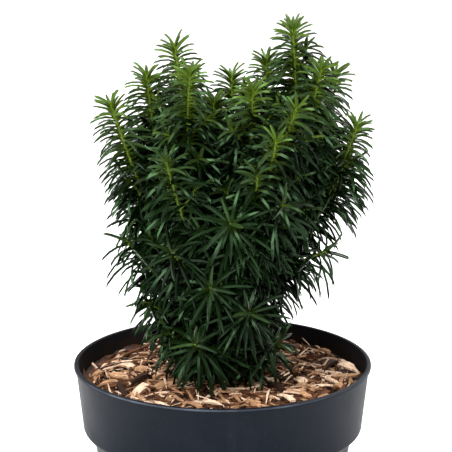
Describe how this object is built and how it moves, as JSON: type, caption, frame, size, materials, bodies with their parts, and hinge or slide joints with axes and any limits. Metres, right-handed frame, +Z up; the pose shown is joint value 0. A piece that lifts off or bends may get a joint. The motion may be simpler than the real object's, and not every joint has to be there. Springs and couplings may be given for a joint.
{
  "type": "potted english yew",
  "caption": "Young bushy english yew with upright shoots and narrow dark needles, in a round plastic nursery pot topped with bark mulch.",
  "frame": {"origin": "centre of the pot's flat underside, which stands on the floor", "axes": "+Z up along the pot's axis, -Y towards the plant's front, +X to the right as seen from the front"},
  "size_m": [0.19, 0.19, 0.3723],
  "materials": {
    "pot_plastic": "dark charcoal moulded plastic with a soft sheen",
    "potting_soil": "moist dark peat",
    "bark_mulch": "loose shredded bark and wood chips, brown to cream",
    "yew_bark": "thin reddish brown scaly bark",
    "yew_needles": "glossy dark green needles, yellower at the shoot tips"
  },
  "bodies": {
    "root": {"bark_mulch": "bark_mulch", "bough_back_left": "yew_bark", "bough_back_right": "yew_bark", "bough_far_left": "yew_bark", "bough_far_right": "yew_bark", "bough_left": "yew_bark", "bough_left_front": "yew_bark", "bough_left_tall": "yew_bark", "bough_middle_back": "yew_bark", "bough_middle_front": "yew_bark", "bough_middle_low": "yew_bark", "bough_middle_right": "yew_bark", "bough_right": "yew_bark", "bough_right_back": "yew_bark", "bough_tallest": "yew_bark", "foliage_back_1": "yew_needles", "foliage_back_2": "yew_needles", "foliage_back_3": "yew_needles", "foliage_back_4": "yew_needles", "foliage_back_5": "yew_needles", "foliage_back_6": "yew_needles", "foliage_back_7": "yew_needles", "foliage_back_left": "yew_needles", "foliage_back_right": "yew_needles", "foliage_far_left": "yew_needles", "foliage_far_right": "yew_needles", "foliage_foot_back_left": "yew_needles", "foliage_foot_back_right": "yew_needles", "foliage_foot_front": "yew_needles", "foliage_foot_front_left": "yew_needles", "foliage_foot_front_right": "yew_needles", "foliage_foot_left": "yew_needles", "foliage_foot_right": "yew_needles", "foliage_front_left": "yew_needles", "foliage_front_middle": "yew_needles", "foliage_front_right": "yew_needles", "foliage_left": "yew_needles", "foliage_left_front": "yew_needles", "foliage_left_tall": "yew_needles", "foliage_low_front_left": "yew_needles", "foliage_low_front_right": "yew_needles", "foliage_low_left": "yew_needles", "foliage_low_right": "yew_needles", "foliage_middle_back": "yew_needles", "foliage_middle_front": "yew_needles", "foliage_middle_low": "yew_needles", "foliage_middle_right": "yew_needles", "foliage_outer_left": "yew_needles", "foliage_outer_right": "yew_needles", "foliage_right": "yew_needles", "foliage_right_back": "yew_needles", "foliage_tallest": "yew_needles", "foliage_upper_front": "yew_needles", "foliage_upper_front_left": "yew_needles", "foliage_upper_front_middle": "yew_needles", "foliage_upper_front_right": "yew_needles", "pot": "pot_plastic", "potting_soil": "potting_soil", "trunk": "yew_bark"}
  },
  "joints": []
}
